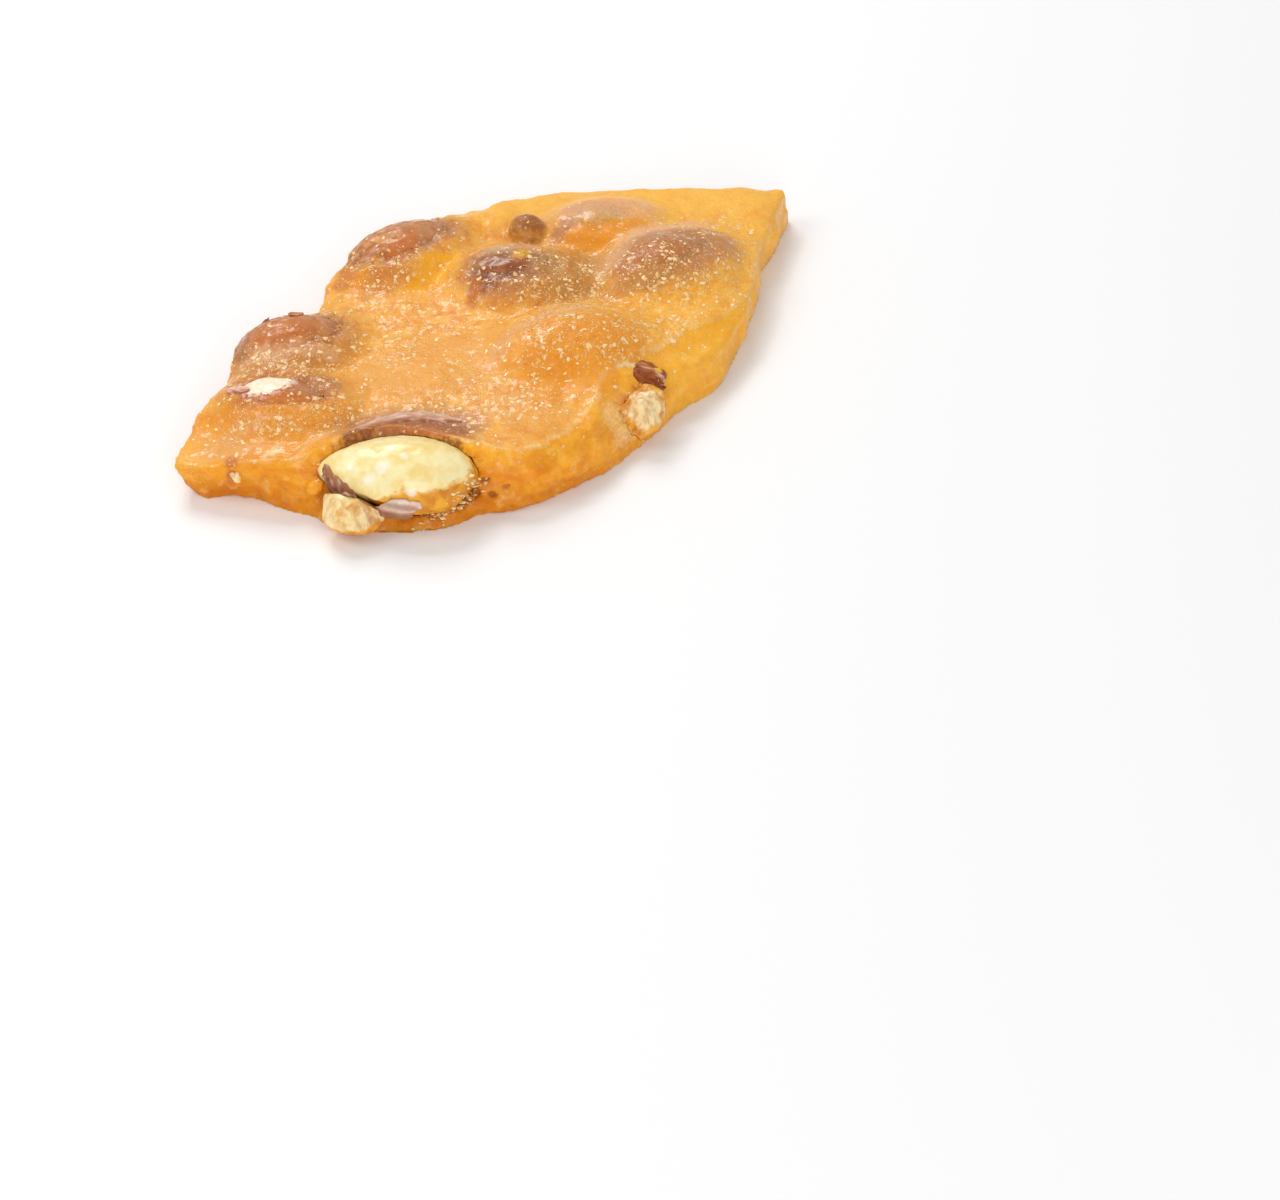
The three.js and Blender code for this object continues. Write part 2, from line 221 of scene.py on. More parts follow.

# Stains and painted sheens, as ovals in the plan: middle x and y, half length and half width in mm,
# turn in degrees, colour and strength. A later one lies over an earlier one.
STAINS_AND_SHEENS = [
    # hazes and clear patches of the poured top
    (-35.8, -22.4, 3.6, 2.8, 0, "fcd070", 0.8), (-27, -19, 10, 7, 20, AMBER, 0.65),
    (-34.6, -23, 4, 3.4, 20, CLEAR_GOLD, 0.5), (-9.5, -8.5, 12, 6, 30, HAZE, 0.7),
    (4.5, -17, 5.5, 3, -30, HAZE, 0.5), (-25, -18.5, 6, 3.5, 10, HAZE, 0.3),
    (-32.5, -19.5, 3, 2, 40, HAZE, 0.5), (27.5, 2, 5, 2, 48, CLEAR_GOLD, 0.6),
    (10, -13, 6, 2, 10, AMBER, 0.4),
    # front left peanut
    (-25.5, -13, 7, 3.6, -5, RUST, 0.4), (-25.4, -15.8, 5.6, 1.5, 0, RUST, 0.9),
    (-21.5, -13.4, 3.4, 2.2, 10, MAUVE, 0.8),
    # left rim peanut, with two painted sheens
    (-25.5, -4.6, 8.4, 5.6, 22, MAUVE, 0.6), (-26, -5, 4, 3, 30, RUST, 0.8),
    (-27.4, -7.8, 4, 1.2, 5, PAINTED_SHEEN, 0.6), (-22.4, -6.6, 3, 1, 5, PAINTED_SHEEN, 0.5),
    # back left peanut and the clear hollow beside it
    (-9.5, 17, 5.6, 2.4, 38, MAUVE, 0.7), (-12.4, 14, 3.6, 1.4, 65, RUST, 0.85),
    (-14.5, 9.6, 4.4, 2, 50, RUST, 0.45), (-19.6, 10.2, 2, 1.6, 80, RUST, 0.7),
    (-17.8, 9.6, 2, 0.9, 65, AMBER, 0.6), (-8.2, 11.3, 4.4, 1.6, 50, CLEAR_GOLD, 0.95),
    # middle peanut, dark at its left end, and the bud behind it, with a painted sheen between them
    (8.5, 10.5, 6.5, 4.6, 45, OLIVE, 0.85), (1, 9.4, 5.2, 4.2, 30, MAUVE, 0.85),
    (0.3, 9.3, 4, 2.6, 35, UMBER, 1.0), (-2.8, 6.6, 1.8, 1, 80, RUST, 0.8),
    (2, 13.8, 4.4, 1.4, 20, PAINTED_SHEEN, 0.45), (2.8, 11.6, 1.5, 0.8, 40, CLEAR_GOLD, 0.8),
    (3.3, 19.6, 3, 2.6, 0, HAZE, 0.7), (3.4, 20, 2.2, 1.9, 0, UMBER, 0.75),
    (2.4, 16.6, 2.6, 0.9, 5, MAUVE, 0.6),
    # back middle peanut; the pale oval along its crest is a painted sheen
    (13, 18.6, 6, 2.6, 17, AMBER, 0.85), (8.8, 20.6, 4, 1.4, 58, MAUVE, 0.8),
    (14, 23.2, 6.6, 2.6, 12, "f2b480", 0.7), (12.4, 23.6, 5, 1.4, 14, "e8a87c", 0.4),
    # right peanut, with two painted sheens
    (22.4, 13.6, 8.6, 4.8, 32, MAUVE, 0.8), (19.5, 12, 5, 2.8, 40, RUST, 0.6),
    (18, 8, 5, 1.6, 20, OLIVE, 0.6), (15.4, 14.4, 5, 1.6, 60, PAINTED_SHEEN, 0.55),
    (21.8, 20, 6.4, 2, 30, PAINTED_SHEEN, 0.65), (20.4, 17.2, 5, 1.2, 35, MAUVE, 0.5),
    # the mound in front of it, which is candy alone, with two painted sheens
    (10.5, -6.6, 8.6, 4.6, 23, AMBER, 0.7), (1.2, -4.7, 4.2, 1.4, 66, PAINTED_SHEEN, 0.4),
    (7.4, -0.4, 5.4, 1.3, 28, PAINTED_SHEEN, 0.5),
    # skin colour behind the bare peanut; the UMBER oval at its left end is a painted shadow under a crease
    (-9.8, -19.6, 8.6, 3.8, 8, MAUVE, 0.9), (-8.6, -20.4, 6.8, 2.4, 2, "9a5a40", 0.7),
    (-7, -21.8, 6, 1.2, -6, RUST, 0.7), (-14.8, -21.6, 3.8, 1.4, 45, UMBER, 0.8),
    # the left-hand break, brown round its chip, and round the right-hand piece pale candy and a painted
    # highlight
    (-30.6, -25.4, 0.9, 1.2, 0, RUST, 0.9), (-29.5, -21.5, 5.5, 2.4, 15, "e8ae74", 0.5),
    (-27.2, -21, 2.6, 1.3, 0, "e89a20", 0.8), (17.4, -14.6, 4.2, 3, 50, PALE_AND_HIGHLIGHT, 0.5),
    (16.4, -7.9, 1.6, 0.5, 30, PALE_AND_HIGHLIGHT, 0.9), (-25.8, -24.2, 1.5, 0.6, 60, PALE_AND_HIGHLIGHT, 0.8),
]
DRIFT = 0.7  # how far a stain's edge wanders, in mm


def stains_and_sheens(places):
    """Colour of the stain and painted sheen ovals at places, and how strongly they show."""
    drifted = places[:, :2] + np.stack([DRIFT * rough(places, 1.9, seed, 4) for seed in (11, 12)], 1)
    colour = np.zeros((len(places), 3))
    weight = np.zeros(len(places))
    for *shape, code, strength in STAINS_AND_SHEENS:
        part = strength * fade(1.35, 0.7, oval(drifted, *shape))
        colour += part[:, None] * (np.array(tone(code)) - colour)
        weight += part * (1 - weight)
    return colour / np.maximum(weight, 1e-4)[:, None], weight


# Where grit is dense, as ovals in the plan, and how dense. The rest of the top has BASE_GRIT, and
# the slope at the back has none.
BASE_GRIT = 0.2
GRIT = [
    (2, 7, 7, 4, 10, 0.5), (8.5, 8.5, 7.5, 6.5, 0, 0.9), (22, 9.5, 9.5, 6, 30, 0.7),
    (10, -4, 10, 7, 15, 0.75), (-14, 11.5, 8, 4, 50, 0.6), (-25, -9, 8, 8, 0, 0.7),
    (-24, -18, 10, 4.5, 8, 0.8), (27, 20, 8, 6, 30, 0.4), (20, -2, 8, 5, 35, 0.75),
    (27, 5, 8, 5, 40, 0.5), (0, -14, 11, 5, 0, 0.6), (-11, -2, 12, 9, 20, 0.3), (13, 21, 10, 4, 5, 0.2),
]

# Where the hazy top ends and the clear break begins, in the plan: along the left-hand break, and
# from the bare peanut round the right-hand side.
SHOULDERS = [
    [(-37, -24.2), (-33, -25.1), (-26.3, -25.7), (-23.1, -25.3), (-21, -21.9), (-18.4, -20)],
    [
        (-4.4, -23.3), (-1.7, -23.4), (3.7, -24.6), (6.6, -22.9), (9.5, -19.3), (11.6, -16.2), (13, -13),
        (13.2, -10.4), (15.4, -8), (20.3, -3.4), (23.2, -0.3), (26.6, 2.3), (29.4, 5.5), (31.4, 10.1),
        (32.8, 15.7),
    ],
]
FAR = 9.0  # mm; what lies further off doesn't matter


def beyond(places):
    """Distance outside the shoulders in the plan, in mm, negative on the poured side."""
    nearest = np.full(len(places), FAR)
    signed = np.full(len(places), -FAR)
    for start, end in [ends for line in SHOULDERS for ends in zip(line, line[1:])]:
        way = np.subtract(end, start)
        off = places[:, :2] - start
        along = np.clip(off @ way / (way @ way), 0, 1)
        away = np.linalg.norm(off - along[:, None] * way, axis=1)
        side = np.sign(off[:, 0] * way[1] - off[:, 1] * way[0])
        signed = np.where(away < nearest, side * away, signed)
        nearest = np.minimum(away, nearest)
    return signed


def grit_at(places):
    """Density of the grit, 0 to 1."""
    dense = BASE_GRIT * fade(24, 17, places[:, 1])
    for *shape, amount in GRIT:
        dense = np.maximum(dense, amount * fade(1.25, 0.5, oval(places, *shape)))
    return dense * (1 - 0.75 * fade(0, 0.8, beyond(places)))


def add(tree, kind, inputs=None, **settings):
    """Adds a shader node, with values or links for its inputs."""
    made = tree.nodes.new("ShaderNode" + kind)
    for key, value in settings.items():
        setattr(made, key, value)
    for key, value in (inputs or {}).items():
        if isinstance(value, bpy.types.NodeSocket):
            tree.links.new(value, made.inputs[key])
        else:
            made.inputs[key].default_value = value
    return made


def attribute(tree, name, output="Fac"):
    """A value that store() kept on the mesh."""
    return add(tree, "Attribute", attribute_name=name).outputs[output]


def mix(tree, share, first, second, blend="MIX"):
    """Goes from the first colour to the second; a colour is a socket or a hex code."""
    first, second = [(*tone(c), 1) if isinstance(c, str) else c for c in (first, second)]
    return add(tree, "Mix", {0: share, 6: first, 7: second}, data_type="RGBA", blend_type=blend).outputs[2]


def calc(tree, operation, first, second, clamp=False):
    """The result of a Math node."""
    return add(tree, "Math", {0: first, 1: second}, operation=operation, use_clamp=clamp).outputs[0]


def ramp(tree, value, low, high, bottom=0.0, top=1.0):
    """Eases from bottom where value is low to top where it is high."""
    made = add(
        tree, "MapRange",
        {"Value": value, "From Min": low, "From Max": high, "To Min": bottom, "To Max": top},
        interpolation_type="SMOOTHSTEP",
    )
    return made.outputs["Result"]


def stretched(tree, where, *scale):
    """Object coordinates for a pattern that is longer where scale is below 1."""
    return add(tree, "Mapping", {"Vector": where, "Scale": scale}, vector_type="POINT").outputs["Vector"]


def cloud(tree, where, size, detail=3.0):
    """Noise with features of size mm in the object's own space."""
    settings = {"Vector": where, "Scale": 1 / (size * MM), "Detail": detail, "Roughness": 0.6}
    return add(tree, "TexNoise", settings).outputs["Fac"]


def emboss(tree, shader, height, strength, depth):
    """Gives the surface relief of depth mm."""
    bump = add(tree, "Bump", {"Height": height, "Strength": strength, "Distance": depth * MM})
    tree.links.new(bump.outputs["Normal"], shader.inputs["Normal"])


def group(name, inputs, outputs):
    """An empty shader node group with named sockets."""
    tree = bpy.data.node_groups.new(name, "ShaderNodeTree")
    for direction, sockets in (("INPUT", inputs), ("OUTPUT", outputs)):
        for socket, kind in sockets.items():
            tree.interface.new_socket(socket, in_out=direction, socket_type="NodeSocket" + kind)
    return tree, tree.nodes.new("NodeGroupInput"), tree.nodes.new("NodeGroupOutput")


def use(tree, nodes, inputs=None):
    """Places a node group in a tree."""
    made = tree.nodes.new("ShaderNodeGroup")
    made.node_tree = nodes
    for key, value in (inputs or {}).items():
        tree.links.new(value, made.inputs[key])
    return made


SPECULAR = 0.15  # sugar and oily skin shine less than a Principled shader's 0.5
COAT_ROUGHNESS = 0.1
SCATTER = (1.0, 0.4, 0.1)  # red light travels furthest inside, blue hardly at all


def look(name, roughness, coat, scatter, reach=1.2):
    """A new material whose light scatters reach mm deep; returns it, its node tree and its shader."""
    made = bpy.data.materials.new(name)
    made.use_nodes = True
    shader = made.node_tree.nodes["Principled BSDF"]
    shader.inputs["Roughness"].default_value = roughness
    shader.inputs["Specular IOR Level"].default_value = SPECULAR
    shader.inputs["Coat Weight"].default_value = coat
    shader.inputs["Coat Roughness"].default_value = COAT_ROUGHNESS
    shader.inputs["Subsurface Weight"].default_value = scatter
    shader.inputs["Subsurface Radius"].default_value = SCATTER
    shader.inputs["Subsurface Scale"].default_value = reach * MM
    return made, made.node_tree, shader


# Brown skin, streaked along each peanut by the grain attribute and hazed over in patches.
skinned, _, leave = group("skinned", {}, {"Color": "Color", "Bump Height": "Float"})
where = add(skinned, "TexCoord").outputs["Object"]
lengthwise = {"Vector": attribute(skinned, "grain", "Vector"), "Scale": 1.0, "Detail": 4, "Roughness": 0.65}
streaks = add(skinned, "TexNoise", lengthwise).outputs["Fac"]
body = mix(skinned, ramp(skinned, streaks, 0.25, 0.75), "9c5830", "cc8448")
body = mix(skinned, ramp(skinned, cloud(skinned, where, 2.1, 4), 0.48, 0.62, 0, 0.7), body, "e8a04c")
body = mix(skinned, ramp(skinned, cloud(skinned, where, 1.3, 5), 0.5, 0.66, 0, 0.7), body, "dca07c")
skinned.links.new(body, leave.inputs["Color"])
skinned.links.new(streaks, leave.inputs["Bump Height"])

# Stain tints and painted sheens over a base colour, fine mottling that darkens the gaps between grit,
# and pale grit as dense as the grit attribute says. Each size of grit: its spacing in mm, the share of
# places that it takes where it is densest, and its radius as a share of its spacing.
SPECKS = [(0.3, 0.8, 0.5), (0.55, 0.6, 0.42), (1.2, 0.5, 0.34)]
SPECK_BEND, SPECK_BEND_SIZE = 0.35, 0.5  # how far the specks' outlines wander and how often, in mm
SPECK_EDGE = 7.0  # how crisp their edges are

tinted, entry, leave = group("tinted", {"Base": "Color"}, {"Color": "Color", "Bump Height": "Float"})
where = add(tinted, "TexCoord").outputs["Object"]
fine, coarse = cloud(tinted, where, 0.42, 4), cloud(tinted, where, 2.6, 3)
strength, density = attribute(tinted, "tint_strength"), attribute(tinted, "grit")
ragged = calc(tinted, "ADD", strength, ramp(tinted, fine, 0.3, 0.7, -0.25, 0.2), clamp=True)
gate = calc(tinted, "MULTIPLY", ragged, ramp(tinted, strength, 0.02, 0.25))
body = mix(tinted, gate, entry.outputs["Base"], attribute(tinted, "tint", "Color"))
body = mix(tinted, ramp(tinted, coarse, 0.48, 0.72, 0, 0.25), body, "df8a22")
gaps = calc(tinted, "ADD", calc(tinted, "MULTIPLY", density, 0.5), 0.06)
gaps = calc(tinted, "MULTIPLY", ramp(tinted, fine, 0.56, 0.42), gaps)
body = mix(tinted, gaps, body, mix(tinted, 1.0, body, "f2bc68", "MULTIPLY"))
swirl = add(tinted, "TexNoise", {"Vector": where, "Scale": 1 / (SPECK_BEND_SIZE * MM), "Detail": 2.0})
bent = add(
    tinted, "VectorMath", {0: swirl.outputs["Color"], 1: [SPECK_BEND * MM] * 3, 2: where},
    operation="MULTIPLY_ADD",
).outputs[0]
grit = None
for spacing, most, radius in SPECKS:
    cells = add(tinted, "TexVoronoi", {"Vector": bent, "Scale": 1 / (spacing * MM)})
    pick = add(tinted, "SeparateColor", {"Color": cells.outputs["Color"]})
    chance = calc(tinted, "MULTIPLY", density, most)
    there = calc(tinted, "LESS_THAN", pick.outputs["Red"], chance)
    reach = ramp(tinted, pick.outputs["Green"], 0, 1, radius * 0.4, radius)
    near = calc(tinted, "SUBTRACT", calc(tinted, "MULTIPLY", reach, there), cells.outputs["Distance"])
    spot = calc(tinted, "MULTIPLY", near, SPECK_EDGE, clamp=True)
    grit = spot if grit is None else calc(tinted, "MAXIMUM", grit, spot)
showing = calc(tinted, "MULTIPLY", grit, ramp(tinted, gate, 0.3, 1.0, 0.62, 0.4))
tinted.links.new(mix(tinted, showing, body, "fdd898"), leave.inputs["Color"])
height = calc(tinted, "ADD", calc(tinted, "MULTIPLY", fine, 0.5), grit)
tinted.links.new(height, leave.inputs["Bump Height"])

# The skin on a peanut: brown, with stain tints and painted sheens, and pink curled lips round the white
# torn window.
skin, tree, shader = look("peanut_skin", 0.36, 0.7, 0.0)
where = add(tree, "TexCoord").outputs["Object"]
brown = use(tree, skinned)
marks = use(tree, tinted, {"Base": brown.outputs["Color"]})
flesh = attribute(tree, "flesh")
white = mix(tree, ramp(tree, cloud(tree, where, 0.5), 0.35, 0.65), "fff8e6", "fbe6bc")
curled = mix(tree, ramp(tree, cloud(tree, where, 0.6, 4), 0.42, 0.58), "c0644c", "fbdcc8")
torn = calc(tree, "ADD", flesh, ramp(tree, cloud(tree, where, 0.7), 0.3, 0.7, -0.15, 0.15))
body = mix(tree, ramp(tree, flesh, -0.42, -0.12, 0, 0.8), marks.outputs["Color"], curled)
body = mix(tree, ramp(tree, torn, -0.03, 0.05), body, white)
tree.links.new(body, shader.inputs["Base Color"])
tree.links.new(ramp(tree, cloud(tree, where, 1.3, 3), 0.46, 0.6, 0.08, 0.75), shader.inputs["Coat Weight"])
relief = calc(tree, "ADD", marks.outputs["Bump Height"], brown.outputs["Bump Height"])
emboss(tree, shader, relief, 0.6, 0.07)

nuts = {}
own_axes = {}
for seed, node in enumerate(SKINNED):
    nut = solid_copy([node], node + "_skin")
    remesh(nut, NUT_STEP, 6)
    spots = points(nut.data)
    middle = spots.mean(0)
    axes = np.linalg.eigh(np.cov((spots - middle).T))[1][:, ::-1]  # its longest axis comes first
    own_axes[node] = (middle, axes)
    own = (spots - middle) @ axes
    folds = rough(own * (0.28, 1, 1), WRINKLE_SIZE, seed + 1, 3)
    tear = 1 - oval(spots + 0.25 * rough(spots, 0.9, 8, 3)[:, None], *FLESH)
    tear = np.where((node == TORN) & (spots[:, 2] > TORN_ABOVE), tear, -1)
    lip = np.exp(-(((tear + 0.14) / 0.12) ** 2)) * LIP - 0.1 * fade(0, 0.2, tear)
    spots += normals(nut.data) * (WRINKLE * folds - 0.02 + lip)[:, None]
    put(nut.data, spots)
    store(nut.data, "grain", own * GRAIN)
    store(nut.data, "flesh", tear)
    colour, weight = stains_and_sheens(spots)
    store(nut.data, "tint", colour)
    store(nut.data, "tint_strength", 0.95 * weight * fade(3.2, 5.0, spots[:, 2]))
    store(nut.data, "grit", 0.45 * grit_at(spots) * fade(4, 6, spots[:, 2]) * (tear < 0))
    nut.data.shade_smooth()
    nut.data.materials.append(skin)
    nuts[node] = nut
    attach(nut, "root")
    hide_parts(node)


# ---- The bare peanut and the broken pieces ----
# A split peanut that lost its skin, cream with painted glints, and gold with painted shade low on its
# front, with a chip of peanut below it and another, tan and rough, in the right-hand break.
CHUNK_STEP = 0.25  # mesh step on a bare piece, in mm
BARE = {  # each one's flat breaks, its roughness in mm and how tan it is
    "peanut_front_bare": (0, 0.09, 0.0),
    "peanut_piece_front": (7, 0.08, 0.45),
    "peanut_piece_right": (6, 0.3, 0.75),
}
RIGHT_PIECE = (18.3, -13.2, 4.2)  # middle of its bared face, in mm
RIGHT_FACE = np.array((0.3, -0.8, 0.5)) / 0.99  # the way that face looks
RIGHT_RADIUS = 2.9  # mm

# Painted highlights on the bare peanut, as pale glint spots: middle and radius, in mm.
GLINT_SPOTS = [
    (-11.5, -26.7, 9.2, 0.6), (-9.6, -27.9, 9.1, 0.5), (-16.1, -28.3, 7.7, 0.6),
    (-13.9, -30.1, 7.2, 0.8), (-12.3, -29.2, 8.3, 1.0), (-8.8, -31.2, 6.3, 0.6),
]

# Roasted nut: cream with painted glints, gold where the gold attribute says, tan and fibrous where toasted.
kernel, tree, shader = look("peanut_kernel", 0.34, 0.35, 0.12)
where = add(tree, "TexCoord").outputs["Object"]
soft, sharp = cloud(tree, where, 2.6, 3), cloud(tree, where, 0.7, 4)
cream = mix(tree, ramp(tree, soft, 0.36, 0.62), "f8db8c", "fdedb4")
upright = stretched(tree, where, 1, 1, 0.3)
tan = mix(tree, ramp(tree, cloud(tree, upright, 0.8, 4), 0.36, 0.58), "cf9a62", "fddfaa")
gold_tone = mix(tree, ramp(tree, soft, 0.4, 0.6), "d4841c", "f4ac26")
ragged = calc(tree, "ADD", attribute(tree, "gold"), ramp(tree, sharp, 0.3, 0.7, -0.2, 0.2))
body = mix(tree, attribute(tree, "toast"), cream, tan)
body = mix(tree, ramp(tree, ragged, 0.15, 0.85), body, gold_tone)
# Painted highlight: the pale glint spots.
body = mix(tree, calc(tree, "MULTIPLY", attribute(tree, "painted_glint"), 0.6), body, "fffcee")
tree.links.new(body, shader.inputs["Base Color"])
emboss(tree, shader, sharp, 0.4, 0.15)


def break_flat(spots, breaks, seed):
    """Breaks flat faces off a lump, at most a fifth of its size deep."""
    turns = np.random.default_rng(seed).normal(size=(breaks, 3))
    for way in turns / np.linalg.norm(turns, axis=1)[:, None]:
        reach = (spots - spots.mean(0)) @ way
        spots -= np.maximum(reach - 0.8 * reach.max(), 0)[:, None] * way
    return spots


for seed, (node, (breaks, roughness, toasted)) in enumerate(BARE.items()):
    chunk = solid_copy([node], node + "_kernel")
    remesh(chunk, CHUNK_STEP, 3)
    spots = break_flat(points(chunk.data), breaks, seed + 5)
    lift = roughness * rough(spots, 1.2, seed + 31, 4) + 0.012 * breaks - 0.03
    spots += normals(chunk.data) * lift[:, None]
    put(chunk.data, spots)
    toast = np.full(len(spots), toasted)
    painted_glint = np.zeros(len(spots))
    if node == "peanut_front_bare":
        for *middle, radius in GLINT_SPOTS:
            away = np.linalg.norm(spots - middle, axis=1) + 0.4 * rough(spots, 1.1, 43, 3)
            painted_glint = np.maximum(painted_glint, fade(1.1 * radius, 0.5 * radius, away))
        # Gold below a level that drops towards its left end: painted shade, warm with light from the candy.
        level = 6.4 - 2.2 * fade(-10.2, -14.5, spots[:, 0]) + 0.6 * rough(spots, 2.4, seed + 41, 3)
        golden = fade(level + 0.7, level - 0.7, spots[:, 2])
        golden = golden * fade(-14.8, -13.6, spots[:, 0]) * (spots[:, 1] < -25)
    elif node == "peanut_piece_front":
        toast = toast + 0.6 * fade(-16, -13.5, spots[:, 0])
        golden = 0.25 + 0.3 * rough(spots, 1.8, seed + 51, 2) + fade(2.6, 1.4, spots[:, 2])
    else:
        # Candy soaked into it round the edge of its bared face.
        beside = spots - RIGHT_PIECE
        beside -= (beside @ RIGHT_FACE)[:, None] * RIGHT_FACE
        outwards = np.linalg.norm(beside, axis=1) / RIGHT_RADIUS + 0.25 * rough(spots, 1.4, 55, 3)
        golden = 0.75 * fade(0.45, 1.0, outwards)
    store(chunk.data, "gold", golden)
    store(chunk.data, "toast", toast)
    store(chunk.data, "painted_glint", painted_glint)
    chunk.data.shade_smooth()
    chunk.data.materials.append(kernel)
    nuts[node] = chunk
    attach(chunk, "root")
    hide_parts(node)


# ---- The candy ----
# Boiled sugar, poured over the peanuts and set: a hazy, slightly crystallised top that thins to a
# film over each peanut, a flat underside, and clear saturated amber where it broke.
CANDY_STEP = 0.36  # mesh step of the candy, in mm
FILM = 0.26  # thickness of the candy over a skinned peanut, in mm
ROLL, ROLL_ROUNDS = 0.6, 14  # how far the right-hand rim rolls over, and in how many rounds
WAVE, WAVE_SIZE = 0.16, 5.5  # height and length of the waves in the poured top, in mm
HACKLE, HACKLE_SIZE = 0.24, 3.4  # depth and length of the hackle in the break, in mm
RIDGE, RIDGE_WIDTH = 0.14, 0.6  # the low ridge where they meet, in mm
CRACK, CRACK_MORE = 0.06, 0.16  # width of the crack round a bare peanut, and how much it varies, in mm
SHARE_KEPT = 0.8  # share of the faces that thinning leaves
SHARP_FROM = 60  # degrees between two faces that meet in a sharp edge

# The share of each skinned peanut that stands clear of the film, from its middle outwards, and how
# far in mm that patch is off the middle, along and across the peanut. Below 0 it is all covered.
CLEAR = {
    "peanut_left_front": (0.74, 0, 0), "peanut_left_rim": (0.9, 0, 0.3), "peanut_back_left": (0.84, 0, 0.6),
    "peanut_middle": (0.4, -2.4, -0.6), "peanut_back_middle": (-0.3, 0, 0), "peanut_right": (-0.3, 0, 0),
    "peanut_bud_back": (0.2, 0, 0),
}

# Where the top's broken edge gets a painted highlight, as ovals in the plan.
RIM_HIGHLIGHTS = [(-20.5, -23.6, 4, 2, 28), (33.5, 16, 7, 1.2, 80)]

# Where the top set smooth, as ovals in the plan.
CALM = [(-8, -7, 13, 6.5, 28), (14, 30, 26, 7, 6)]

# Burst bubbles in the front break: middle and half sizes, in mm.
BUBBLES = [
    (-0.5, -26.4, 4.0, 0.9, 0.7, 0.6), (-1.7, -27.2, 2.4, 1.0, 0.9, 0.6),
    (0.3, -27.3, 2.5, 0.7, 0.7, 0.5), (2.1, -26.8, 3.2, 0.6, 0.6, 0.35),
]


def shell_of(obj):
    """A piece's surface in mm, to find its nearest points."""
    mesh = obj.data
    return BVHTree.FromPolygons([v.co / MM for v in mesh.vertices], [p.vertices for p in mesh.polygons])


candy = solid_copy(["candy_sheet"], "candy")
inside = solid_copy(SKINNED, "inside", FILM)
bm = bmesh.new()
bm.from_mesh(candy.data)
bm.from_mesh(inside.data)
bm.to_mesh(candy.data)
bm.free()
bpy.data.objects.remove(inside)
remesh(candy, CANDY_STEP, 3)

# The rim rolls over gently on the right-hand side, where it broke slowly.
spots = points(candy.data)
edges = np.empty(len(candy.data.edges) * 2, dtype=int)
candy.data.edges.foreach_get("vertices", edges)
edges = edges.reshape(-1, 2)
count = np.bincount(edges.ravel(), minlength=len(spots))
rolled = ROLL * fade(7, 13, spots[:, 0]) * fade(2.5, 4.5, spots[:, 2])
for _ in range(ROLL_ROUNDS):
    total = np.stack([
        np.bincount(edges[:, 0], spots[edges[:, 1], k], len(spots))
        + np.bincount(edges[:, 1], spots[edges[:, 0], k], len(spots)) for k in range(3)
    ], 1)
    spots += rolled[:, None] * (total / count[:, None] - spots)
put(candy.data, spots)

# The top is nearly smooth, rougher where grit lies, with a low ridge where it meets the break; the
# break is hackled; and the underside stays flat.
ways = normals(candy.data)
top = fade(0.25, 0.75, ways[:, 2])
flat = fade(-0.5, -0.9, ways[:, 2]) * fade(0.8, 0.3, spots[:, 2])
dense = grit_at(spots)
right = fade(6, 24, spots[:, 0])
honey = np.maximum(right, fade(19, 26, spots[:, 1] - 0.1 * spots[:, 0]))
lift = WAVE * rough(spots, WAVE_SIZE, 3, 3)
lift += (0.03 + 0.1 * dense + 0.04 * right) * rough(spots, 1.3, 4, 3)
hackle = HACKLE * rough(spots * (1, 1, 0.7), HACKLE_SIZE, 5, 3) + HACKLE / 2 * rough(spots, 1.3, 6, 3)
over = beyond(spots) + 0.4 * rough(spots, 1.7, 81, 3)
lift += RIDGE * np.exp(-((over / RIDGE_WIDTH) ** 2))
spots += ways * ((top * lift + (1 - top) * hackle) * (1 - flat) - 0.03)[:, None]

# How far each point is from the nearest skinned peanut; the candy is drawn back off its crown.
gap = np.full(len(spots), FAR)
grain = np.zeros_like(spots)
for node in SKINNED:
    shell = shell_of(nuts[node])
    middle, axes = own_axes[node]
    own = (spots - middle) @ axes
    size = np.abs((points(nuts[node].data) - middle) @ axes).max(0)
    near = np.nonzero((np.abs(own) < size + 2.5).all(1))[0]
    share_open, slide_x, slide_y = CLEAR[node]
    slid = own[near] - np.array((slide_x, slide_y, 0)) @ axes
    edge = np.hypot(slid[:, 0] / size[0], slid[:, 1] / size[1]) + 0.13 * rough(spots[near], 1.5, 9, 4)
    opened = fade(share_open + 0.25, share_open - 0.25, edge) * fade(0.3, 0.6, ways[near, 2])
    for i, share in zip(near, opened):
        hit, way, _, away = shell.find_nearest(Vector(spots[i]), 3)
        if hit is None:
            continue
        if (Vector(spots[i]) - hit).dot(way) < 0:
            away = -away
        drop = share * (away + 0.2)
        spots[i] -= np.array(way) * drop
        if away - drop < gap[i]:
            gap[i] = away - drop
            grain[i] = own[i]

